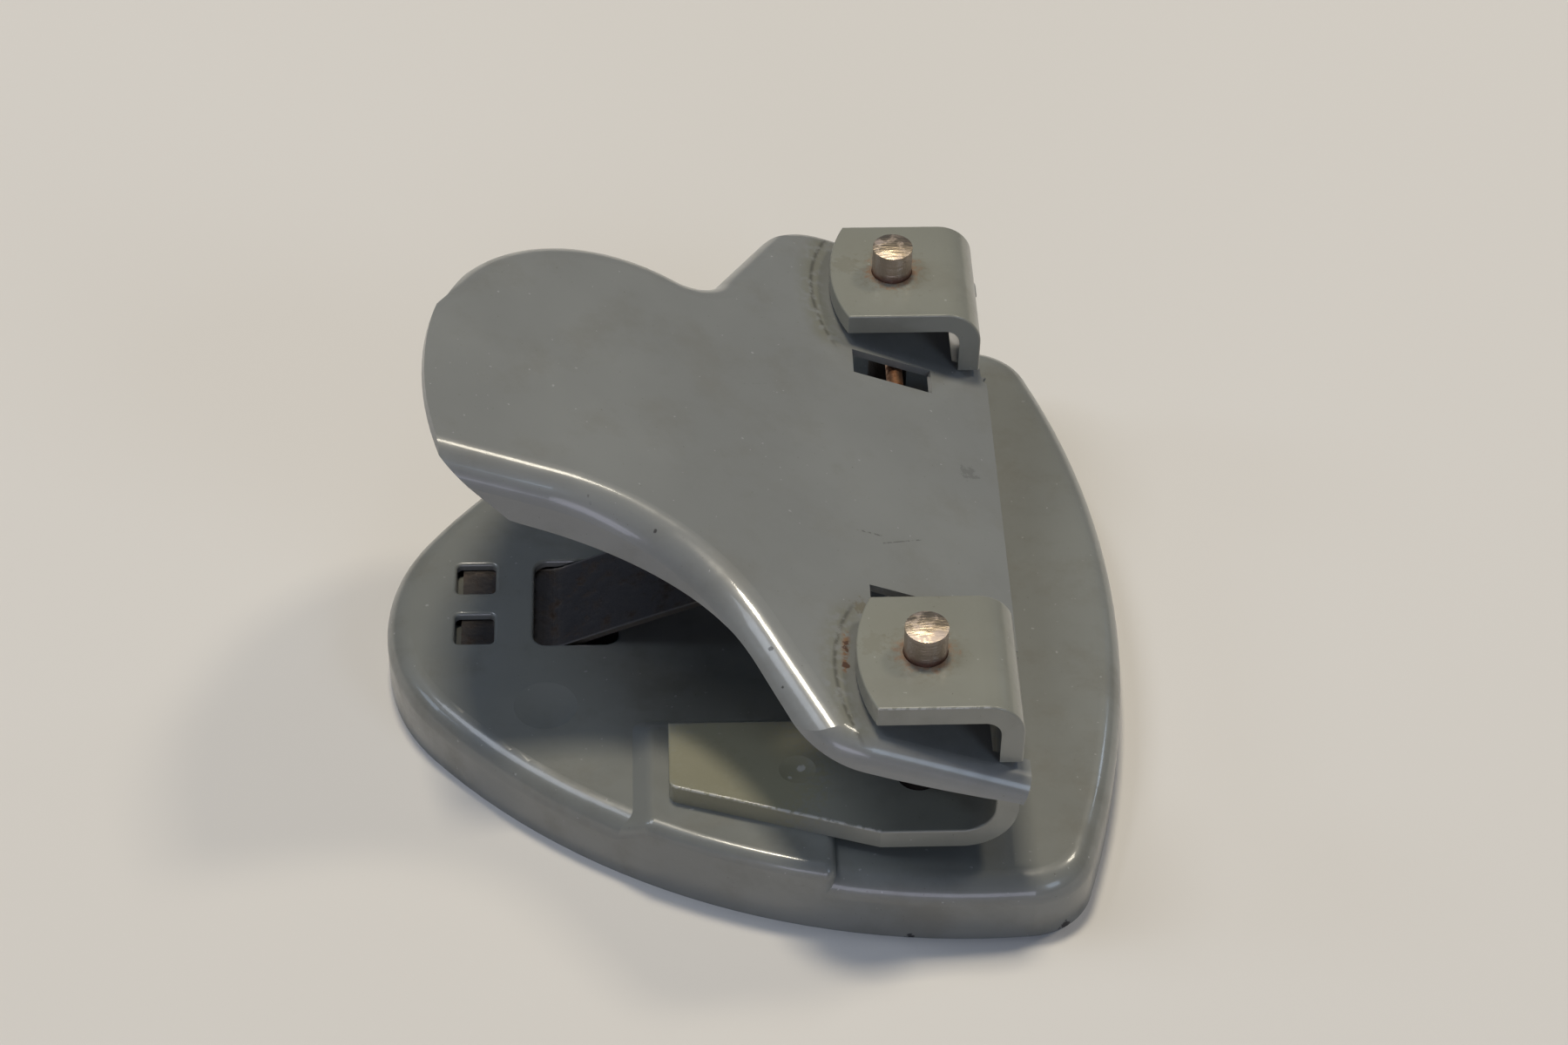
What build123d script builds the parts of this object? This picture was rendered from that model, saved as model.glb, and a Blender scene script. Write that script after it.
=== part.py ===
"""Two-hole punch pressed and bent from sheet steel.

Millimetres.  X runs along the punch, from the free end of the handle at -X to
the rear edge at +X.  Y runs across it and Z is up.  The origin is the middle
of the base on the surface it stands on.
"""
from build123d import *
from math import atan2, cos, radians, sin
import os

# Base, one pressed dish.  Its two sides are drawn to slightly different arcs
base_sheet = 1.2
base_height = 10.4
base_half_width = 57.2
near_side_radius = 101.9
near_side_x = 30.2
far_side_radius = 96.3
far_side_x = 30.7
nose_radius = 30.1
rear_x = 54.3
rear_arc_radius = 152.0
rear_arc_y = -1.5
rear_corner_radius = 10.0
rim_radius = 3.6

# Raised seats in the base for the brackets, and the paper stop at their edge
seat_rise = 1.8
seat_front_x = -15.6
seat_inner_y = 27.0
seat_ramp = 2.4
seat_corner_radius = 3.0
seat_edge_radius = 2.0
stop_edge_radius = 1.5
paper_margin = 12.0

# Openings and dimples in the base
window_front_x = -32.5
window_rear_x = -20.0
window_corner = 2.0
window_side_gap = 0.4
hook_slot_front_x = -44.1
hook_slot_length = 5.8
hook_slot_inner_y = 2.2
hook_slot_width = 6.0
hook_slot_corner = 0.8
punched_edge_radius = 0.5
hook_gap = 0.1
hook_side_gap = 0.2
hook_reach = 4.4
dimple_x = -30.5
dimple_y = 21.0
dimple_radius = 4.6
dimple_depth = 0.4

# Punch pins
pin_diameter = 6.0
pin_x = 22.0
hole_spacing = 80.0
pin_top_z = 45.2
pin_tip_z = 12.7
pin_crown = 0.35
pin_edge_radius = 0.3
pin_groove_depth = 0.8
pin_groove_radius = 6.0
guide_clearance = 0.08
die_clearance = 0.03

# Brackets, each one strip of plate bent to a C
bracket_plate = 3.2
bracket_width = 21.2
bracket_height = 28.0
web_outer_x = 35.0
upper_bend_inner = 2.3
lower_bend_inner = 4.3
lug_side_x = 15.0
lug_bulge = 2.4
foot_front_x = -12.9
foot_front_width = 12.0
foot_taper_end_x = 16.2
foot_corner = 1.5
sheared_edge_radius = 0.3
weld_x = 5.1
weld_inset = 9.3
weld_radius = 2.6
weld_depth = 0.4
notch_depth = 2.2
notch_top_z = 29.3
notch_height = 2.9
notch_corner = 0.5

# Handle, one pressed sheet hooked through the notches of the brackets.  Its
# outline is measured along the sheet from the heel
handle_sheet = 1.2
handle_slope = 21.0
handle_heel_z = 28.0
handle_past_bracket = 3.5
handle_length = 86.75
ear_fold_radius = 3.2
grip_fold_radius = 4.8
grip_ease = 0.05
tongue_rear_x = 36.2
tongue_relief_radius = 0.6
strip_rear_x = 35.4
slot_front_x = 31.0
slot_neck_gap = 0.3
ear_front_near = 28.6
ear_front_far = 31.4
ear_radius = 12.0
neck_near = 49.2
neck_near_half_width = 19.5
neck_near_radius = 32.0
neck_far_radius = 5.5
neck_far_angle = 59.0
grip_near_half_width = 19.3
head_radius = 27.05
head_angle = 158.6
head_end_angle = 150.0
tip_radius = 52.5
tip_centre_y = 0.2

# Depth of the handle's folded flange, from the heel forward
flange_heel_depth = 3.3
flange_ear_x = 18.0
flange_ear_depth = 4.45
flange_dip_depth = 3.4
flange_dip_radius = 10.0
flange_neck_depth = 6.4
flange_grip_depth = 8.0
flange_grip_end = 15.5
flange_tip_end = 3.2

# Openings and tabs of the handle
pin_slot_length = 9.0
pin_slot_width = 7.0
window_edge_x = 15.5
window_length = 11.9
window_inner_y = 22.4
window_width = 5.1
tab_width = 7.0
tab_drop = 4.4
tab_corner = 1.0
rod_play = 0.4

# Cross rod that joins both pins
rod_diameter = 2.5
rod_z = 30.2
rod_overhang = 0.5
rod_fit = 0.05
rod_chamfer = 0.3

# Leaf spring
spring_sheet = 0.8
spring_width = 16.6
spring_bend_x = -31.0
spring_bend_radius = 8.0
spring_rise = 25.0
spring_tip_past_rod = 2.6
spring_rod_gap = 0.12
spring_tip_lift = 0.7
spring_tail_gap = 0.9

# Places that follow from the sizes above
pin_y = hole_spacing / 2
stop_x = pin_x - paper_margin
seat_z = base_height + seat_rise
foot_top_z = seat_z + bracket_plate
lug_top_z = seat_z + bracket_height
lug_bottom_z = lug_top_z - bracket_plate
web_inner_x = web_outer_x - bracket_plate
bracket_inner_y = pin_y - bracket_width / 2
bracket_outer_y = pin_y + bracket_width / 2
upper_bend_outer = upper_bend_inner + bracket_plate
lower_bend_outer = lower_bend_inner + bracket_plate
run = cos(radians(handle_slope))
hook_slot_x = hook_slot_front_x + hook_slot_length / 2
hook_y = hook_slot_inner_y + hook_slot_width / 2
spring_z = base_height - base_sheet - hook_gap - spring_sheet / 2
hook_bottom_z = spring_z - spring_sheet / 2 - hook_gap - base_sheet
dimple_ball = (dimple_radius**2 + dimple_depth**2) / (2 * dimple_depth)
weld_ball = (weld_radius**2 + weld_depth**2) / (2 * weld_depth)
rod_on_handle = (
    (pin_x - web_outer_x) * run - (rod_z - handle_heel_z) * sin(radians(handle_slope)),
    (pin_x - web_outer_x) * sin(radians(handle_slope)) + (rod_z - handle_heel_z) * run,
)
handle_half_width = bracket_outer_y + handle_past_bracket
handle_width = 2 * handle_half_width
cut_past = 2.0
past_rear = tongue_rear_x + cut_past
past_tip = handle_length + grip_fold_radius + cut_past
handle_block = flange_grip_depth + cut_past

os.makedirs("parts", exist_ok=True)


def save(piece, name):
    piece.part.label = name
    export_step(piece.part, f"parts/{name}.step")


# Base
def ramp(z, edge, wall):
    """Place of a seat's sloping side at a height, drawn in by the wall."""
    slope = atan2(seat_rise, seat_ramp)
    return edge - seat_ramp * (seat_z - z) / seat_rise + wall / sin(slope)


def base_form(wall):
    """Outside of the pressed dish, or its hollow when drawn in by the sheet."""
    with BuildSketch() as outline:
        with Locations((near_side_x, near_side_radius - base_half_width)):
            Circle(near_side_radius - wall)
        with Locations((far_side_x, base_half_width - far_side_radius)):
            Circle(far_side_radius - wall, mode=Mode.INTERSECT)
        with Locations(Location((rear_x - rear_arc_radius, rear_arc_y, 0), (0, 0, 180))):
            Circle(rear_arc_radius - wall, mode=Mode.INTERSECT)
        fillet(outline.vertices().sort_by(Axis.X)[0], nose_radius - wall)
        fillet(outline.vertices().sort_by(Axis.X)[-2:], rear_corner_radius - wall)

    with BuildPart() as dish:
        with BuildSketch():
            add(outline.sketch)
        extrude(amount=base_height - wall)
        fillet(dish.faces().sort_by(Axis.Z)[-1].edges(), rim_radius - wall)

    top = seat_z + seat_rise
    reach = base_half_width + cut_past
    with BuildPart() as seats:
        with BuildSketch():
            add(outline.sketch)
        extrude(amount=seat_z - wall)
        with BuildSketch(Plane.XZ):
            with BuildLine():
                Polyline(
                    (ramp(0, seat_front_x, wall), 0),
                    (ramp(top, seat_front_x, wall), top),
                    (stop_x - wall, top),
                    (stop_x - wall, 0),
                    close=True,
                )
            make_face()
        extrude(amount=reach, both=True, mode=Mode.INTERSECT)
        with BuildSketch(Plane.YZ):
            with BuildLine():
                Polyline(
                    (ramp(0, seat_inner_y, wall), 0),
                    (ramp(top, seat_inner_y, wall), top),
                    (reach, top),
                    (reach, 0),
                    close=True,
                )
            make_face()
            mirror(about=Plane.YZ)
        extrude(amount=reach, both=True, mode=Mode.INTERSECT)
        corners = seats.edges().filter_by(GeomType.LINE)
        corners = corners.filter_by(lambda edge: min(map(abs, tuple(edge % 0.5))) > 0.1)
        fillet(corners, seat_corner_radius - wall)
        # Soft over the slopes, then along the rim, tighter at the paper stop
        upper = seats.faces().sort_by(Axis.Z)[-2:].edges().sort_by(Axis.Y)
        slopes = upper[1:-1].filter_by_position(Axis.X, window_rear_x, stop_x - stop_edge_radius)
        fillet(slopes, seat_edge_radius - wall)
        upper = seats.faces().sort_by(Axis.Z)[-2:].edges().sort_by(Axis.Y)
        fillet((upper[0], upper[-1]), seat_edge_radius - wall)
        upper = seats.faces().sort_by(Axis.Z)[-2:].edges()
        fillet(upper.group_by(Axis.X)[-1], stop_edge_radius - wall)

    with BuildPart() as form:
        add(dish.part)
        add(seats.part)
    return form.part


with BuildPart() as base:
    add(base_form(0))
    add(base_form(base_sheet), mode=Mode.SUBTRACT)
    with BuildSketch():
        with Locations(((window_front_x + window_rear_x) / 2, 0)):
            RectangleRounded(
                window_rear_x - window_front_x,
                spring_width + 2 * window_side_gap,
                window_corner,
            )
        with Locations((hook_slot_x, hook_y), (hook_slot_x, -hook_y)):
            RectangleRounded(hook_slot_length, hook_slot_width, hook_slot_corner)
        with Locations((pin_x, pin_y), (pin_x, -pin_y)):
            Circle(pin_diameter / 2 + die_clearance)
    extrude(amount=seat_z, mode=Mode.SUBTRACT)
    punched = base.edges().filter_by_position(Axis.X, hook_slot_front_x - cut_past, stop_x)
    punched = punched.filter_by_position(Axis.Y, -seat_inner_y / 2, seat_inner_y / 2)
    fillet(punched.group_by(Axis.Z)[-1], punched_edge_radius)
    with Locations(
        (dimple_x, dimple_y, base_height + dimple_ball - dimple_depth),
        (dimple_x, -dimple_y, base_height + dimple_ball - dimple_depth),
    ):
        Sphere(dimple_ball, mode=Mode.SUBTRACT)
    # Two hooks turned down from the slots hold the tail of the spring
    with BuildSketch(Plane.XZ) as hook:
        with BuildLine():
            Polyline(
                (hook_slot_front_x - base_sheet, base_height - base_sheet / 2),
                (hook_slot_front_x - base_sheet, hook_bottom_z),
                (hook_slot_front_x + hook_reach, hook_bottom_z),
                (hook_slot_front_x + hook_reach, hook_bottom_z + base_sheet),
                (hook_slot_front_x, hook_bottom_z + base_sheet),
                (hook_slot_front_x, base_height - base_sheet / 2),
                close=True,
            )
        make_face()
        bend = hook.vertices().sort_by(Axis.Y)
        fillet(bend.group_by(Axis.Y)[0].sort_by(Axis.X)[0], base_sheet)
    for side in (-1, 1):
        width = hook_slot_width - 2 * hook_side_gap
        extrude(
            hook.sketch.moved(Location((0, side * hook_y + width / 2, 0))),
            amount=width,
        )
save(base, "base")


# Brackets
with BuildPart() as bracket_left:
    with BuildSketch(Plane.XZ.offset(-bracket_outer_y)) as section:
        with BuildLine():
            Polyline(
                (foot_front_x, seat_z),
                (web_outer_x, seat_z),
                (web_outer_x, lug_top_z),
                (lug_side_x - lug_bulge, lug_top_z),
                (lug_side_x - lug_bulge, lug_bottom_z),
                (web_inner_x, lug_bottom_z),
                (web_inner_x, foot_top_z),
                (foot_front_x, foot_top_z),
                close=True,
            )
        make_face()
        for x, z, radius in (
            (web_outer_x, seat_z, lower_bend_outer),
            (web_inner_x, foot_top_z, lower_bend_inner),
            (web_outer_x, lug_top_z, upper_bend_outer),
            (web_inner_x, lug_bottom_z, upper_bend_inner),
        ):
            fillet(section.vertices().sort_by_distance((x, z, 0))[0], radius)
    extrude(amount=bracket_width)
    # The tip of the lug is cut to a shallow arc
    with BuildSketch(Plane.XY.offset(foot_top_z)):
        with BuildLine():
            ThreePointArc(
                (lug_side_x, bracket_outer_y),
                (lug_side_x - lug_bulge, pin_y),
                (lug_side_x, bracket_inner_y),
            )
            Polyline(
                (lug_side_x, bracket_inner_y),
                (foot_front_x, bracket_inner_y - cut_past),
                (foot_front_x, bracket_outer_y + cut_past),
                (lug_side_x, bracket_outer_y),
            )
        make_face()
    extrude(amount=bracket_height, mode=Mode.SUBTRACT)
    # The outer side of the foot is cut aslant
    with BuildSketch(Plane.XY.offset(seat_z)):
        with BuildLine():
            Polyline(
                (foot_front_x, bracket_inner_y + foot_front_width),
                (foot_taper_end_x, bracket_outer_y),
                (foot_taper_end_x, bracket_outer_y + cut_past),
                (foot_front_x - cut_past, bracket_outer_y + cut_past),
                (foot_front_x - cut_past, bracket_inner_y + foot_front_width),
                close=True,
            )
        make_face()
    extrude(amount=bracket_plate, mode=Mode.SUBTRACT)
    corner = (foot_front_x, bracket_inner_y + foot_front_width, seat_z)
    upright = bracket_left.edges().filter_by(Axis.Z)
    fillet(upright.sort_by_distance(corner)[0], foot_corner)
    # The handle hooks into a notch in each edge of the web
    with BuildSketch(Plane.YZ.offset(web_inner_x - cut_past)):
        for edge_y in (bracket_inner_y, bracket_outer_y):
            with Locations((edge_y, notch_top_z - notch_height / 2)):
                RectangleRounded(2 * notch_depth, notch_height, notch_corner)
    extrude(amount=bracket_plate + 2 * cut_past, mode=Mode.SUBTRACT)
    with BuildSketch(Plane.XY.offset(seat_z)):
        with Locations((pin_x, pin_y)):
            Circle(pin_diameter / 2 + guide_clearance)
    extrude(amount=bracket_height, mode=Mode.SUBTRACT)
    with Locations((weld_x, bracket_inner_y + weld_inset, foot_top_z + weld_ball - weld_depth)):
        Sphere(weld_ball, mode=Mode.SUBTRACT)
    # Shearing leaves the top edges of foot and lug slightly rounded
    for z in (foot_top_z, lug_top_z):
        level = bracket_left.faces().filter_by(Axis.Z)
        plate_top = level.sort_by_distance((foot_taper_end_x, pin_y, z))[0]
        fillet(plate_top.outer_wire().edges().sort_by(Axis.X)[:-1], sheared_edge_radius)
save(bracket_left, "bracket_left")

with BuildPart() as bracket_right:
    add(bracket_left.part)
    mirror(about=Plane.XZ, mode=Mode.REPLACE)
save(bracket_right, "bracket_right")


# Handle
handle_plane = Plane(
    origin=(web_outer_x, 0, handle_heel_z),
    x_dir=(run, 0, -sin(radians(handle_slope))),
    z_dir=(sin(radians(handle_slope)), 0, run),
)


def along(x):
    """Distance down the sloping sheet of a place given level."""
    return (x - web_outer_x) / run


def polar(centre, radius, angle):
    """Point on a circle of the handle's outline."""
    x = centre[0] + radius * cos(radians(angle))
    y = centre[1] + radius * sin(radians(angle))
    return (x, y)


tip_centre = (tip_radius - handle_length, tip_centre_y)
head_centre = polar(tip_centre, tip_radius - head_radius, head_angle)
head_start = polar(head_centre, head_radius, head_end_angle)
head_end = polar(head_centre, head_radius, neck_far_angle)
neck_corner = (-neck_near, -neck_near_half_width)
ear_near = (-ear_front_near, -handle_half_width)
ear_far = (-ear_front_far, handle_half_width)


def beyond(start, end):
    """Point past the end of a line, clear of the rounded ears."""
    return (2 * end[0] - start[0], 2 * end[1] - start[1])


def die(near, far, fold_radius, wall, ease=0):
    """Block of the handle's outline between two ear corners, its top edge rounded."""
    tip_run = (past_tip + head_start[0]) / sin(radians(head_end_angle))
    with BuildSketch() as outline:
        with BuildLine():
            ThreePointArc(
                head_start,
                polar(head_centre, head_radius, (head_end_angle + neck_far_angle) / 2),
                head_end,
            )
            Polyline(
                head_end,
                far,
                (past_rear, far[1]),
                (past_rear, near[1]),
                near,
                neck_corner,
                (-past_tip, -grip_near_half_width),
                polar(head_start, tip_run, head_end_angle + 90),
                head_start,
            )
        make_face()
        for point, radius in ((neck_corner, neck_near_radius), (head_end, neck_far_radius)):
            fillet(outline.vertices().sort_by_distance((point[0], point[1], 0))[0], radius)
        for point in (near, far):
            fillet(outline.vertices().sort_by_distance((point[0], point[1], 0))[0], ear_radius)
        if wall != ease:
            offset(amount=ease - wall, mode=Mode.REPLACE)
    with BuildPart() as block:
        with BuildSketch(Plane.XY.offset(-wall)):
            add(outline.sketch)
        extrude(amount=-handle_block)
        fillet(block.faces().sort_by(Axis.Z)[-1].edges(), fold_radius - wall)
    return block.part


def handle_form(wall):
    """Outside of the pressed handle, or its hollow when drawn in by the sheet."""
    near = beyond(neck_corner, ear_near)
    far = beyond(head_end, ear_far)
    with BuildPart() as form:
        add(die(ear_near, ear_far, ear_fold_radius, wall))
        add(die(near, far, grip_fold_radius, wall, grip_ease), mode=Mode.INTERSECT)
    return form.part


with BuildPart() as handle:
    add(handle_form(0))
    add(handle_form(handle_sheet), mode=Mode.SUBTRACT)
    # The tip is sheared off to an arc
    with BuildSketch(Plane.XY.offset(-handle_block)):
        with Locations((-past_tip - cut_past, 0)):
            Rectangle(
                past_tip + cut_past - neck_near - neck_near_half_width,
                handle_width,
                align=(Align.MIN, Align.CENTER),
            )
        with Locations(tip_centre):
            Circle(tip_radius, mode=Mode.SUBTRACT)
    extrude(amount=handle_block + cut_past, mode=Mode.SUBTRACT)
    # The flange is deepest along the grip, dips at the neck and runs out at the tip
    dip = (-(ear_front_near + neck_near) / 2, -flange_dip_depth)
    grip_end = (flange_grip_end - handle_length, -flange_grip_depth)
    with BuildSketch(Plane.XZ) as free_edge:
        with BuildLine():
            ThreePointArc((0, -flange_heel_depth), (-flange_ear_x, -flange_ear_depth), dip)
            ThreePointArc(dip, (-neck_near, -flange_neck_depth), grip_end)
            Polyline(
                grip_end,
                (flange_tip_end - handle_length, -handle_sheet),
                (-past_tip - cut_past, -handle_sheet),
                (-past_tip - cut_past, -handle_block - cut_past),
                (past_rear + cut_past, -handle_block - cut_past),
                (past_rear + cut_past, -flange_heel_depth),
                (0, -flange_heel_depth),
            )
        make_face()
        fillet(
            free_edge.vertices().sort_by_distance((dip[0], 0, dip[1]))[0], flange_dip_radius
        )
    extrude(amount=handle_width, both=True, mode=Mode.SUBTRACT)
    # The rear edge, with the slots that take the webs of the brackets
    slot_length = along(tongue_rear_x) - along(slot_front_x) + cut_past
    slot_width = bracket_width - 2 * notch_depth + 2 * slot_neck_gap
    strip_width = notch_depth - slot_neck_gap
    with BuildSketch(Plane.XY.offset(-handle_block)):
        with Locations((along(tongue_rear_x), 0)):
            Rectangle(past_rear + cut_past, handle_width + cut_past, align=(Align.MIN, Align.CENTER))
        for side in (-1, 1):
            with Locations((along(slot_front_x) + slot_length / 2, side * pin_y)):
                Rectangle(slot_length, slot_width)
            with Locations((along(strip_rear_x), side * (bracket_inner_y + strip_width / 2))):
                Rectangle(cut_past, strip_width, align=(Align.MIN, Align.CENTER))
            with Locations((along(tongue_rear_x), side * (bracket_inner_y - tongue_relief_radius))):
                Circle(tongue_relief_radius)
    extrude(amount=handle_block + cut_past, mode=Mode.SUBTRACT)
    # Slots for the pins and windows over the ends of the cross rod
    with BuildSketch(Plane.XY.offset(-handle_sheet - cut_past)):
        for side in (-1, 1):
            with Locations((along(pin_x), side * pin_y)):
                SlotOverall(pin_slot_length, pin_slot_width)
            with Locations((along(window_edge_x), side * (window_inner_y + window_width / 2))):
                Rectangle(window_length / run, window_width, align=(Align.MIN, Align.CENTER))
    extrude(amount=handle_sheet + 2 * cut_past, mode=Mode.SUBTRACT)
    # A tab turned down from each window carries the rod in a loose hole
    for side in (-1, 1):
        with BuildSketch(Plane.XZ.offset(-side * window_inner_y)) as tab:
            with Locations((along(pin_x), -handle_sheet / 2)):
                Rectangle(tab_width, tab_drop + handle_sheet / 2, align=(Align.CENTER, Align.MAX))
            fillet(tab.vertices().group_by(Axis.Z)[0], tab_corner)
            with Locations(rod_on_handle):
                Circle(rod_diameter / 2 + rod_play, mode=Mode.SUBTRACT)
        extrude(amount=side * handle_sheet)
handle.part = handle.part.moved(handle_plane.location)
save(handle, "handle")


# Punch pins, with a hollow ground across the cutting end
with BuildPart() as punch_pin_left:
    pin_plane = Plane(origin=(pin_x, pin_y, 0), x_dir=(1, 0, 0), z_dir=(0, -1, 0))
    crown_rim = (pin_diameter / 2, pin_top_z - pin_crown)
    with BuildSketch(pin_plane) as profile:
        with BuildLine():
            TangentArc((0, pin_top_z), crown_rim, tangent=(1, 0))
            Polyline(crown_rim, (pin_diameter / 2, pin_tip_z), (0, pin_tip_z), (0, pin_top_z))
        make_face()
        rim = profile.vertices().group_by(Axis.X)[-1].sort_by(Axis.Z)[-1]
        fillet(rim, pin_edge_radius)
    revolve(axis=Axis((pin_x, pin_y, 0), (0, 0, 1)))
    with Locations(
        Location((pin_x, pin_y, pin_tip_z + pin_groove_depth - pin_groove_radius), (90, 0, 0))
    ):
        Cylinder(pin_groove_radius, 2 * pin_diameter, mode=Mode.SUBTRACT)
    with BuildSketch(Plane.XZ.offset(-pin_y - pin_diameter)):
        with Locations((pin_x, rod_z)):
            Circle(rod_diameter / 2 + rod_fit)
    extrude(amount=2 * pin_diameter, mode=Mode.SUBTRACT)
save(punch_pin_left, "punch_pin_left")

with BuildPart() as punch_pin_right:
    add(punch_pin_left.part)
    mirror(about=Plane.XZ, mode=Mode.REPLACE)
save(punch_pin_right, "punch_pin_right")


# Cross rod through both pins
rod_half = pin_y + pin_diameter / 2 + rod_overhang
with BuildPart() as cross_rod:
    with BuildSketch(Plane.XZ.offset(-rod_half)):
        with Locations((pin_x, rod_z)):
            Circle(rod_diameter / 2)
    extrude(amount=2 * rod_half)
    chamfer(cross_rod.edges().filter_by(GeomType.CIRCLE), rod_chamfer)
save(cross_rod, "cross_rod")


# Leaf spring that lifts the rod
with BuildPart() as leaf_spring:
    spring_end = (
        pin_x + spring_tip_past_rod,
        rod_z - rod_diameter / 2 - spring_rod_gap - spring_sheet / 2 + spring_tip_lift,
    )
    with BuildSketch(Plane.XZ.offset(-spring_width / 2)):
        with BuildLine():
            tail = Line((hook_slot_front_x + spring_tail_gap, spring_z), (spring_bend_x, spring_z))
            bend = JernArc(tail @ 1, tail % 1, spring_bend_radius, spring_rise)
            TangentArc(bend @ 1, spring_end, tangent=bend % 1)
        trace(line_width=spring_sheet)
    extrude(amount=spring_width)
save(leaf_spring, "leaf_spring")
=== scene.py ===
"""Looks of a two-hole paper punch of pressed sheet steel, around its CAD frame."""
import math

import bpy
from mathutils import Matrix, Vector


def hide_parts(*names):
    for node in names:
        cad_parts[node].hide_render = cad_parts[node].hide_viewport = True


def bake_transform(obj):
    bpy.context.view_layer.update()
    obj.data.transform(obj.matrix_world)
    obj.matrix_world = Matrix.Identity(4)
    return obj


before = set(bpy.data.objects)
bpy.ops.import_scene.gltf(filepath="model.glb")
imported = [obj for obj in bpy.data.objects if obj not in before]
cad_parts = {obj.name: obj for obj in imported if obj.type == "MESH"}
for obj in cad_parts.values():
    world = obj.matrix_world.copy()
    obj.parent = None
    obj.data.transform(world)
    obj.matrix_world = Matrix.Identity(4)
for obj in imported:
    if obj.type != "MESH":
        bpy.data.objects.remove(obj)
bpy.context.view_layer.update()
bpy.ops.object.select_all(action="DESELECT")


# Base
# A dish pressed from thin sheet steel, open below, that stands on its skirt.
# It is dipped in grey-green enamel, which lies thick, glossy and a little wavy.
base_colour = (0.184, 0.187, 0.168, 1.0)
base_dirt_colour = (0.085, 0.075, 0.050, 1.0)
chip_colour = (0.020, 0.018, 0.016, 1.0)
base_chips = (((0.0421, -0.0554, 0.0004), 0.0009), ((0.0204, -0.0567, 0.0002), 0.0008))


def new_group(name, inputs, outputs):
    """An empty node group with named sockets."""
    group = bpy.data.node_groups.new(name, "ShaderNodeTree")
    for label, kind, value in inputs:
        socket = group.interface.new_socket(label, in_out="INPUT", socket_type=kind)
        if value is not None:
            socket.default_value = value
    for label, kind in outputs:
        group.interface.new_socket(label, in_out="OUTPUT", socket_type=kind)
    return group, group.nodes.new("NodeGroupInput"), group.nodes.new("NodeGroupOutput")


def put(tree, kind, values=None, **settings):
    """A node in a tree, with its settings and the values of its sockets."""
    node = tree.nodes.new(kind)
    for key, value in settings.items():
        setattr(node, key, value)
    for key, value in (values or {}).items():
        node.inputs[key].default_value = value
    return node


def feed(tree, value, socket):
    """Gives a socket its value, from another socket or as a constant."""
    if isinstance(value, bpy.types.NodeSocket):
        tree.links.new(value, socket)
    else:
        socket.default_value = value


def noise(tree, place, scale, detail=2.0, roughness=0.5):
    """Noise on the piece's own coordinates, which are in metres."""
    values = {"Scale": scale, "Detail": detail, "Roughness": roughness}
    node = put(tree, "ShaderNodeTexNoise", values)
    tree.links.new(place, node.inputs["Vector"])
    return node.outputs["Fac"]


def span(tree, value, low, high, out_low=0.0, out_high=1.0):
    """A value's stretch from low to high, spread smoothly over a new range."""
    node = put(tree, "ShaderNodeMapRange", interpolation_type="SMOOTHSTEP")
    feed(tree, value, node.inputs["Value"])
    feed(tree, low, node.inputs["From Min"])
    feed(tree, high, node.inputs["From Max"])
    feed(tree, out_low, node.inputs["To Min"])
    feed(tree, out_high, node.inputs["To Max"])
    return node.outputs["Result"]


def blend(tree, share, first, second, kind="RGBA"):
    """Two colours or values mixed by a share."""
    node = put(tree, "ShaderNodeMix", data_type=kind)
    feed(tree, share, node.inputs["Factor"])
    feed(tree, first, node.inputs["A"])
    feed(tree, second, node.inputs["B"])
    return node.outputs["Result"]


def calculate(tree, operation, first, second):
    """One sum on two values, each a socket or a number."""
    node = put(tree, "ShaderNodeMath", operation=operation)
    feed(tree, first, node.inputs[0])
    feed(tree, second, node.inputs[1])
    return node.outputs["Value"]


def with_vectors(tree, operation, first, second, output="Vector"):
    """One sum on two vectors, each a socket or a triple."""
    node = put(tree, "ShaderNodeVectorMath", operation=operation)
    feed(tree, first, node.inputs[0])
    feed(tree, second, node.inputs[1])
    return node.outputs[output]


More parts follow.
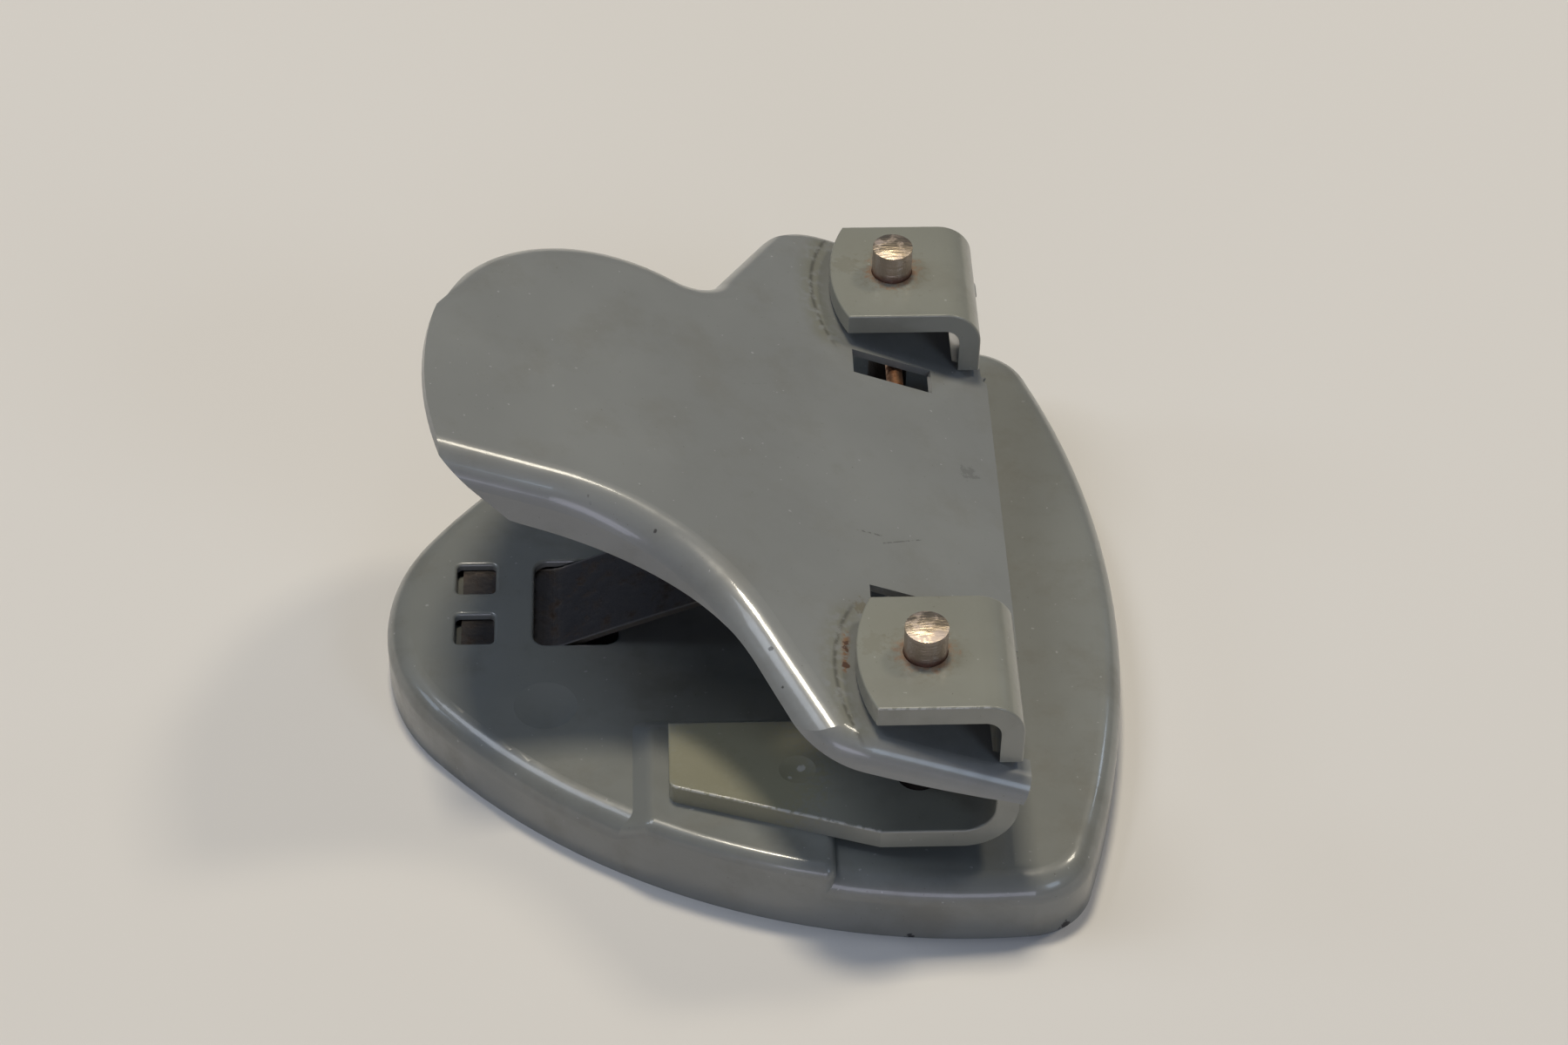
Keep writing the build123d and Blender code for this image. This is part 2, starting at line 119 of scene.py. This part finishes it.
def enamel_group():
    """Dipped enamel: cloudy colour, pinholes, a wavy skin and settled dirt."""
    inputs = [
        ("Paint", "NodeSocketColor", base_colour),
        ("Dirt", "NodeSocketColor", base_dirt_colour),
        ("Dirt Amount", "NodeSocketFloat", 0.3),
    ]
    outputs = [
        ("Colour", "NodeSocketColor"),
        ("Roughness", "NodeSocketFloat"),
        ("Height", "NodeSocketFloat"),
    ]
    tree, given, made = new_group("dipped enamel", inputs, outputs)
    place = put(tree, "ShaderNodeTexCoord").outputs["Object"]
    cloud = span(tree, noise(tree, place, 32, 3), 0.35, 0.65)
    patch = span(tree, noise(tree, place, 95, 5, 0.62), 0.45, 0.72)
    speck = span(tree, noise(tree, place, 2300, 1), 0.77, 0.80)
    dust = span(tree, noise(tree, place, 1500, 0), 0.84, 0.87)
    darker = put(tree, "ShaderNodeHueSaturation", {"Value": 0.90})
    tree.links.new(given.outputs["Paint"], darker.inputs["Color"])
    colour = blend(tree, cloud, darker.outputs["Color"], given.outputs["Paint"])
    soil = calculate(tree, "MULTIPLY", patch, given.outputs["Dirt Amount"])
    colour = blend(tree, soil, colour, given.outputs["Dirt"])
    colour = blend(tree, calculate(tree, "MULTIPLY", speck, 0.6), colour, given.outputs["Dirt"])
    pale = put(tree, "ShaderNodeHueSaturation", {"Value": 2.2, "Saturation": 0.5})
    tree.links.new(given.outputs["Paint"], pale.inputs["Color"])
    colour = blend(tree, calculate(tree, "MULTIPLY", dust, 0.4), colour, pale.outputs["Color"])
    tree.links.new(colour, made.inputs["Colour"])
    matt = calculate(tree, "MULTIPLY", patch, 0.12)
    tree.links.new(calculate(tree, "ADD", matt, 0.30), made.inputs["Roughness"])
    wave = calculate(tree, "MULTIPLY", noise(tree, place, 150, 1), 1.4)
    peel = calculate(tree, "MULTIPLY", noise(tree, place, 900, 1), 0.12)
    tree.links.new(calculate(tree, "ADD", wave, peel), made.inputs["Height"])
    return tree


def spot_group():
    """A blot with a ragged rim, one inside it and nought outside."""
    inputs = [
        ("Centre", "NodeSocketVector", None),
        ("Radius", "NodeSocketFloat", 0.001),
        ("Ragged", "NodeSocketFloat", 0.6),
    ]
    tree, given, made = new_group("ragged spot", inputs, [("Share", "NodeSocketFloat")])
    place = put(tree, "ShaderNodeTexCoord").outputs["Object"]
    away = with_vectors(tree, "DISTANCE", place, given.outputs["Centre"], "Value")
    rag = calculate(tree, "SUBTRACT", noise(tree, place, 1100, 3, 0.6), 0.5)
    rag = calculate(tree, "MULTIPLY", rag, given.outputs["Radius"])
    rag = calculate(tree, "MULTIPLY", rag, given.outputs["Ragged"])
    away = calculate(tree, "ADD", away, calculate(tree, "MULTIPLY", rag, 4.0))
    full = calculate(tree, "MULTIPLY", given.outputs["Radius"], 0.6)
    share = span(tree, away, full, given.outputs["Radius"], 1.0, 0.0)
    tree.links.new(share, made.inputs["Share"])
    return tree


def scratch_group():
    """A thin stroke between two points that fades and breaks up along its way."""
    inputs = [
        ("Start", "NodeSocketVector", None),
        ("End", "NodeSocketVector", None),
        ("Width", "NodeSocketFloat", 0.0003),
    ]
    tree, given, made = new_group("scratch", inputs, [("Share", "NodeSocketFloat")])
    place = put(tree, "ShaderNodeTexCoord").outputs["Object"]
    offset = with_vectors(tree, "SUBTRACT", place, given.outputs["Start"])
    reach = with_vectors(tree, "SUBTRACT", given.outputs["End"], given.outputs["Start"])
    along = with_vectors(tree, "DOT_PRODUCT", offset, reach, "Value")
    whole = with_vectors(tree, "DOT_PRODUCT", reach, reach, "Value")
    part = calculate(tree, "DIVIDE", along, whole)
    part = calculate(tree, "MINIMUM", calculate(tree, "MAXIMUM", part, 0.0), 1.0)
    scale = put(tree, "ShaderNodeVectorMath", operation="SCALE")
    tree.links.new(reach, scale.inputs[0])
    tree.links.new(part, scale.inputs["Scale"])
    away = with_vectors(tree, "DISTANCE", offset, scale.outputs["Vector"], "Value")
    line = span(tree, away, 0.0, given.outputs["Width"], 1.0, 0.0)
    broken = span(tree, noise(tree, place, 1400, 2), 0.40, 0.55)
    tree.links.new(calculate(tree, "MULTIPLY", line, broken), made.inputs["Share"])
    return tree


enamel = enamel_group()
ragged_spot = spot_group()
scratch_line = scratch_group()


def enamel_material(name, paint, dirt, dirt_amount):
    """Enamel on one pressed piece, as a material of its own."""
    material = bpy.data.materials.new(name)
    material.use_nodes = True
    tree = material.node_tree
    shader = tree.nodes["Principled BSDF"]
    shader.inputs["Coat Roughness"].default_value = 0.09
    shader.inputs["Coat Weight"].default_value = 0.45
    values = {"Paint": paint, "Dirt": dirt, "Dirt Amount": dirt_amount}
    skin = put(tree, "ShaderNodeGroup", node_tree=enamel)
    for key, value in values.items():
        skin.inputs[key].default_value = value
    bump = put(tree, "ShaderNodeBump", {"Strength": 0.35, "Distance": 0.0003})
    tree.links.new(skin.outputs["Height"], bump.inputs["Height"])
    tree.links.new(skin.outputs["Colour"], shader.inputs["Base Color"])
    tree.links.new(skin.outputs["Roughness"], shader.inputs["Roughness"])
    tree.links.new(bump.outputs["Normal"], shader.inputs["Normal"])
    return material


def spot(material, centre, radius, ragged=0.6):
    """The share of a blot on a material."""
    values = {"Centre": centre, "Radius": radius, "Ragged": ragged}
    node = put(material.node_tree, "ShaderNodeGroup", node_tree=ragged_spot)
    for key, value in values.items():
        node.inputs[key].default_value = value
    return node.outputs["Share"]


def scratch(material, start, end, width):
    """The share of a scratch on a material."""
    node = put(material.node_tree, "ShaderNodeGroup", node_tree=scratch_line)
    for key, value in {"Start": start, "End": end, "Width": width}.items():
        node.inputs[key].default_value = value
    return node.outputs["Share"]


def lay_over(material, share, colour, roughness, strength=1.0):
    """Lays a mark of its own colour and roughness over what a material has."""
    tree = material.node_tree
    shader = tree.nodes["Principled BSDF"]
    share = calculate(tree, "MULTIPLY", share, strength)
    for socket, value, kind in (
        (shader.inputs["Base Color"], colour, "RGBA"),
        (shader.inputs["Roughness"], roughness, "FLOAT"),
    ):
        before = socket.links[0].from_socket
        tree.links.new(blend(tree, share, before, value, kind), socket)


def dress(node, material):
    """Gives a CAD node its material."""
    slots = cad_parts[node].data.materials
    slots.clear()
    slots.append(material)


base_enamel = enamel_material("base enamel", base_colour, base_dirt_colour, 0.35)
for centre, radius in base_chips:
    lay_over(base_enamel, spot(base_enamel, centre, radius), chip_colour, 0.7)
dress("base", base_enamel)


# Brackets
# Two strips of plate bent to a C and welded to the base, each drilled for a
# pin. They carry the same enamel, with rust and grease around the pins.
bracket_colour = (0.216, 0.214, 0.176, 1.0)
grease_colour = (0.105, 0.085, 0.040, 1.0)
foot_warm_light_colour = (0.215, 0.200, 0.122, 1.0)
rust_colour = (0.200, 0.105, 0.050, 1.0)
bare_and_highlight_colour = (0.42, 0.41, 0.37, 1.0)
pin_x = 0.022
pin_y = 0.040
lug_top_z = 0.0402
foot_top_z = 0.0154
for side, across in (("left", pin_y), ("right", -pin_y)):
    enamelled = enamel_material(f"bracket enamel {side}", bracket_colour, base_dirt_colour, 0.22)
    hole = (pin_x, across, lug_top_z)
    lay_over(enamelled, spot(enamelled, hole, 0.0060, 0.40), grease_colour, 0.5, 0.22)
    lay_over(enamelled, spot(enamelled, hole, 0.0046, 0.30), rust_colour, 0.8, 0.75)
    edge_stain = (pin_x - 0.0070, across + 0.0015, lug_top_z)
    lay_over(enamelled, spot(enamelled, edge_stain, 0.0022), grease_colour, 0.5, 0.2)
    foot_stain = (pin_x - 0.0300, across + 0.0020, foot_top_z)
    lay_over(enamelled, spot(enamelled, foot_stain, 0.0060), grease_colour, 0.5, 0.30)
    # A yellowish patch on the front of each foot is painted warm light, where the lamp falls on it.
    foot_light_centre = (pin_x - 0.0260, across + 0.0010, foot_top_z)
    lay_over(enamelled, spot(enamelled, foot_light_centre, 0.0150, 0.25), foot_warm_light_colour, 0.4, 0.7)
    outer = 1 if side == "left" else -1
    # Pale lines along the outer top edges of foot and lug: worn bare edges and painted edge highlight
    # together.
    foot_edge = ((-0.0125, outer * 0.0414, foot_top_z), (0.0160, outer * 0.0504, foot_top_z), 0.00045)
    lug_edge = ((0.0150, outer * 0.0506, lug_top_z), (0.0300, outer * 0.0506, lug_top_z), 0.00040)
    for start, end, width in (foot_edge, lug_edge):
        lay_over(enamelled, scratch(enamelled, start, end, width), bare_and_highlight_colour, 0.3, 0.8)
    # The two pale spots in the weld dimple of each foot are a painted highlight, where the dimple catches a
    # lamp.
    for x, y, radius in ((0.0056, 0.0382, 0.0007), (0.0040, 0.0401, 0.0004)):
        weld_highlight = spot(enamelled, (x, outer * y, foot_top_z - 0.0003), radius, 0.3)
        lay_over(enamelled, weld_highlight, bare_and_highlight_colour, 0.25, 0.8)
    dress(f"bracket_{side}", enamelled)


# Handle
# One sheet pressed with a folded flange, hooked through the notches of both
# brackets. The lug has rubbed an arc on it, where rust has started.
handle_colour = (0.203, 0.206, 0.194, 1.0)
handle_enamel = enamel_material("handle enamel", handle_colour, base_dirt_colour, 0.22)
rub_centre_x = 0.0372
rub_radius = 0.0274
rub_width = 0.0005
stain_width = 0.0032
pit_colour = (0.085, 0.042, 0.025, 1.0)
stain_colour = (0.120, 0.114, 0.060, 1.0)
rust_streaks = (
    ((0.0117, -0.0334, 0.0370), (0.0113, -0.0374, 0.0371), 0.0009),
    ((0.0113, -0.0384, 0.0371), (0.0112, -0.0404, 0.0371), 0.0008),
)
rust_spots = (
    ((0.0116, -0.0350, 0.0370), 0.0006),
    ((0.0114, -0.0363, 0.0370), 0.0005),
    ((0.0113, -0.0393, 0.0371), 0.0006),
)
dark_specks = (
    ((-0.0143, -0.0215, 0.0456), 0.00032),
    ((0.0011, -0.0387, 0.0398), 0.00035),
    ((0.0026, -0.0441, 0.0378), 0.00028),
    ((0.0342, -0.0200, 0.0283), 0.0005),
)
scratches = (
    ((-0.0234, -0.0181, 0.0493), (-0.0231, -0.0190, 0.0485), 0.00025),
    ((0.0144, -0.0118, 0.0359), (0.0178, -0.0118, 0.0346), 0.00025),
    ((0.0180, -0.0132, 0.0345), (0.0235, -0.0105, 0.0324), 0.00018),
    ((-0.0020, 0.0125, 0.0421), (0.0058, 0.0160, 0.0391), 0.00015),
)


def rubbed_arc(material, width):
    """The share of the arcs that the tips of the lugs have rubbed on the sheet."""
    tree = material.node_tree
    place = put(tree, "ShaderNodeTexCoord").outputs["Object"]
    split = put(tree, "ShaderNodeSeparateXYZ")
    tree.links.new(place, split.inputs["Vector"])
    across = calculate(tree, "ABSOLUTE", split.outputs["Y"], 0.0)
    from_pin = calculate(tree, "SUBTRACT", across, pin_y)
    from_centre = calculate(tree, "SUBTRACT", split.outputs["X"], rub_centre_x)
    squares = calculate(
        tree,
        "ADD",
        calculate(tree, "MULTIPLY", from_pin, from_pin),
        calculate(tree, "MULTIPLY", from_centre, from_centre),
    )
    away = calculate(tree, "SUBTRACT", calculate(tree, "SQRT", squares, 0.0), rub_radius)
    away = calculate(tree, "ABSOLUTE", away, 0.0)
    line = span(tree, away, 0.0, width, 1.0, 0.0)
    ends = span(tree, calculate(tree, "ABSOLUTE", from_pin, 0.0), 0.0105, 0.0140, 1.0, 0.0)
    front = span(tree, from_centre, -0.0200, -0.0180, 1.0, 0.0)
    broken = span(tree, noise(tree, place, 700, 3), 0.32, 0.55)
    share = calculate(tree, "MULTIPLY", line, broken)
    share = calculate(tree, "MULTIPLY", share, ends)
    return calculate(tree, "MULTIPLY", share, front)


lay_over(handle_enamel, rubbed_arc(handle_enamel, stain_width), stain_colour, 0.5, 0.45)
lay_over(handle_enamel, rubbed_arc(handle_enamel, rub_width), chip_colour, 0.6, 0.6)
lay_over(handle_enamel, spot(handle_enamel, (0.0142, -0.0273, 0.0360), 0.0016), grease_colour, 0.6, 0.6)
lay_over(handle_enamel, spot(handle_enamel, (0.0318, 0.0068, 0.0292), 0.0014, 1.0), chip_colour, 0.6, 0.3)
for start, end, width in rust_streaks:
    lay_over(handle_enamel, scratch(handle_enamel, start, end, width), rust_colour, 0.85, 0.9)
for centre, radius in rust_spots:
    lay_over(handle_enamel, spot(handle_enamel, centre, radius, 0.9), pit_colour, 0.85)
for centre, radius in dark_specks:
    lay_over(handle_enamel, spot(handle_enamel, centre, radius), chip_colour, 0.6, 0.9)
for start, end, width in scratches:
    lay_over(handle_enamel, scratch(handle_enamel, start, end, width), chip_colour, 0.7, 0.7)
dress("handle", handle_enamel)


# Punch pins
# Round bars of ground steel with a low crown on top. The paint never reached
# them, so they have tarnished, and brown rust creeps up from the brackets.
pin_steel_colour = (0.52, 0.42, 0.30, 1.0)
pin_tarnish_colour = (0.44, 0.37, 0.33, 1.0)
pin_painted_shade_colour = (0.050, 0.040, 0.035, 1.0)
pin_rust_colour = (0.190, 0.080, 0.042, 1.0)
pin_top_z = 0.0452


def steel_material(name, steel, tarnish, low, high, roughness, grinding=(1, 1, 1)):
    """Bare steel that has tarnished in patches."""
    material = bpy.data.materials.new(name)
    material.use_nodes = True
    tree = material.node_tree
    shader = tree.nodes["Principled BSDF"]
    shader.inputs["Metallic"].default_value = 1.0
    place = put(tree, "ShaderNodeTexCoord").outputs["Object"]
    patch = span(tree, noise(tree, place, 420, 5, 0.65), low, high)
    tree.links.new(blend(tree, patch, steel, tarnish), shader.inputs["Base Color"])
    rough = span(tree, patch, 0.0, 1.0, roughness, roughness + 0.25)
    tree.links.new(rough, shader.inputs["Roughness"])
    bump = put(tree, "ShaderNodeBump", {"Strength": 0.5, "Distance": 0.0002})
    ground = with_vectors(tree, "MULTIPLY", place, grinding)
    tree.links.new(noise(tree, ground, 420, 3, 0.6), bump.inputs["Height"])
    tree.links.new(bump.outputs["Normal"], shader.inputs["Normal"])
    return material


def height_share(material, low, high):
    """A share that rises from nought to one between two heights, with a ragged edge."""
    tree = material.node_tree
    place = put(tree, "ShaderNodeTexCoord").outputs["Object"]
    split = put(tree, "ShaderNodeSeparateXYZ")
    tree.links.new(place, split.inputs["Vector"])
    rag = calculate(tree, "MULTIPLY", noise(tree, place, 900, 3), 0.0012)
    return span(tree, calculate(tree, "ADD", split.outputs["Z"], rag), low, high)


pin_steel = steel_material("pin steel", pin_steel_colour, pin_tarnish_colour, 0.42, 0.66, 0.34, (0.5, 4, 4))
pin_side = height_share(pin_steel, pin_top_z + 0.0005, pin_top_z - 0.0004)
lay_over(pin_steel, pin_side, pin_tarnish_colour, 0.36, 0.9)
pin_foot = height_share(pin_steel, lug_top_z + 0.0020, lug_top_z + 0.0006)
lay_over(pin_steel, pin_foot, pin_rust_colour, 0.6, 0.85)
# Painted shade: below 35 mm the pins are painted near black, for the shade they stand in under the handle.
pin_painted_shade = height_share(pin_steel, 0.0360, 0.0350)
lay_over(pin_steel, pin_painted_shade, pin_painted_shade_colour, 0.5)
for side in ("left", "right"):
    dress(f"punch_pin_{side}", pin_steel)


# Cross rod
# A thin bar through both pins, rusted brown, seen in the windows of the handle.
rod_colour = (0.30, 0.17, 0.10, 1.0)
rod_rust_colour = (0.14, 0.06, 0.03, 1.0)
dress("cross_rod", steel_material("rod steel", rod_colour, rod_rust_colour, 0.40, 0.60, 0.40))


# Leaf spring
# A strip of hardened steel, blued to a dark brown, hooked under the base and
# sprung up against the rod, which bends its free end down with the pins.
spring_merge = 0.00001
spring_smooth_deg = 30
spring_colour = (0.135, 0.118, 0.106, 1.0)
spring_rust_colour = (0.060, 0.040, 0.028, 1.0)
spring_edge_highlight_colour = (0.40, 0.35, 0.30, 1.0)
spring_steel = steel_material("spring steel", spring_colour, spring_rust_colour, 0.45, 0.75, 0.34)
spring_tree = spring_steel.node_tree
spring_place = put(spring_tree, "ShaderNodeTexCoord").outputs["Object"]
spring_split = put(spring_tree, "ShaderNodeSeparateXYZ")
spring_tree.links.new(spring_place, spring_split.inputs["Vector"])
# A lighter band along both long edges of the strip is a painted highlight on its sheared edges.
spring_side = calculate(spring_tree, "ABSOLUTE", spring_split.outputs["Y"], 0.0)
spring_edge_highlight = span(spring_tree, spring_side, 0.0078, 0.0082)
lay_over(spring_steel, spring_edge_highlight, spring_edge_highlight_colour, 0.3, 0.7)
spring = bpy.data.objects.new("spring_strip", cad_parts["leaf_spring"].data.copy())
bpy.context.collection.objects.link(spring)
bpy.ops.object.select_all(action="DESELECT")
bpy.context.view_layer.objects.active = spring
spring.select_set(True)
bpy.ops.object.mode_set(mode="EDIT")
bpy.ops.mesh.select_all(action="SELECT")
bpy.ops.mesh.remove_doubles(threshold=spring_merge)
bpy.ops.object.mode_set(mode="OBJECT")
bpy.ops.object.shade_smooth_by_angle(angle=math.radians(spring_smooth_deg))
spring.select_set(False)
spring.data.materials.clear()
spring.data.materials.append(spring_steel)
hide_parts("leaf_spring")
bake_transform(spring)


# Floor and backdrop
# A plain pale sheet that lies under the object and runs out of the picture.
floor_size = 12.0
bpy.ops.mesh.primitive_plane_add(size=floor_size, location=(0, 0, 0))
floor = bpy.context.object
floor.name = "floor"
floor_material = bpy.data.materials.new("pale floor")
floor_material.use_nodes = True
floor_shader = floor_material.node_tree.nodes["Principled BSDF"]
floor_shader.inputs["Base Color"].default_value = (0.62, 0.59, 0.55, 1.0)
floor_shader.inputs["Roughness"].default_value = 0.9
floor.data.materials.append(floor_material)


# Camera
# Stands where the photograph was taken from: a long lens, looking down 44 degrees.
camera_place = Vector((-0.01354, -0.37066, 0.38375))
camera_turn = math.radians(2.78)
camera_drop = math.radians(43.94)
camera_roll = math.radians(1.08)
focal_px = 4055.8
photo_width_px = 1800
sensor_mm = 36.0
ahead = Vector((
    math.sin(camera_turn) * math.cos(camera_drop),
    math.cos(camera_turn) * math.cos(camera_drop),
    -math.sin(camera_drop),
))
level = Vector((math.cos(camera_turn), -math.sin(camera_turn), 0))
upright = level.cross(ahead)
right = level * math.cos(camera_roll) + upright * math.sin(camera_roll)
up = upright * math.cos(camera_roll) - level * math.sin(camera_roll)
camera_data = bpy.data.cameras.new("camera")
camera_data.sensor_width = sensor_mm
camera_data.lens = focal_px / photo_width_px * sensor_mm
camera_data.clip_start = 0.01
camera = bpy.data.objects.new("camera", camera_data)
bpy.context.collection.objects.link(camera)
turn = Matrix((right, up, -ahead)).transposed().to_4x4()
camera.matrix_world = Matrix.Translation(camera_place) @ turn
bpy.context.scene.camera = camera


# Lights
# A warm lamp behind on the right and a warm strip overhead draw the bright
# lines on the folded edges. Cool soft ones stand in front, left and right.
def soft_lamp(name, turn_deg, rise_deg, away, width, depth, power, colour):
    """A soft lamp that faces the object from a turn and a rise."""
    turn = math.radians(turn_deg)
    rise = math.radians(rise_deg)
    towards = Vector((math.cos(turn) * math.cos(rise), math.sin(turn) * math.cos(rise), math.sin(rise)))
    data = bpy.data.lights.new(name, "AREA")
    data.shape = "RECTANGLE"
    data.size = width
    data.size_y = depth
    data.energy = power
    data.color = colour
    lamp = bpy.data.objects.new(name, data)
    lamp.location = towards * away
    lamp.rotation_euler = towards.to_track_quat("Z", "Y").to_euler()
    bpy.context.collection.objects.link(lamp)


warm = (1.0, 0.92, 0.76)
cool = (0.64, 0.79, 1.0)
soft_lamp("key lamp", 32, 52, 3.0, 0.42, 0.42, 18, warm)
soft_lamp("upper lamp", 100, 76, 2.7, 0.45, 0.36, 41, warm)
soft_lamp("front lamp", -95, 12, 3.0, 2.1, 0.9, 19, (0.82, 0.82, 1.0))
soft_lamp("corner lamp", -48, 30, 3.0, 0.9, 0.9, 10.8, cool)
soft_lamp("left lamp", 165, 60, 3.0, 1.05, 1.05, 19.8, (0.82, 0.89, 1.0))
soft_lamp("window", 172, 33, 3.0, 0.6, 0.6, 5.4, cool)
soft_lamp("right lamp", 36, 28, 3.0, 0.3, 0.3, 2.25, cool)
world = bpy.data.worlds.new("room")
bpy.context.scene.world = world
world.use_nodes = True
world.node_tree.nodes["Background"].inputs["Color"].default_value = (0.48, 0.64, 1.0, 1.0)
world.node_tree.nodes["Background"].inputs["Strength"].default_value = 0.10
bpy.context.scene.view_settings.view_transform = "Standard"
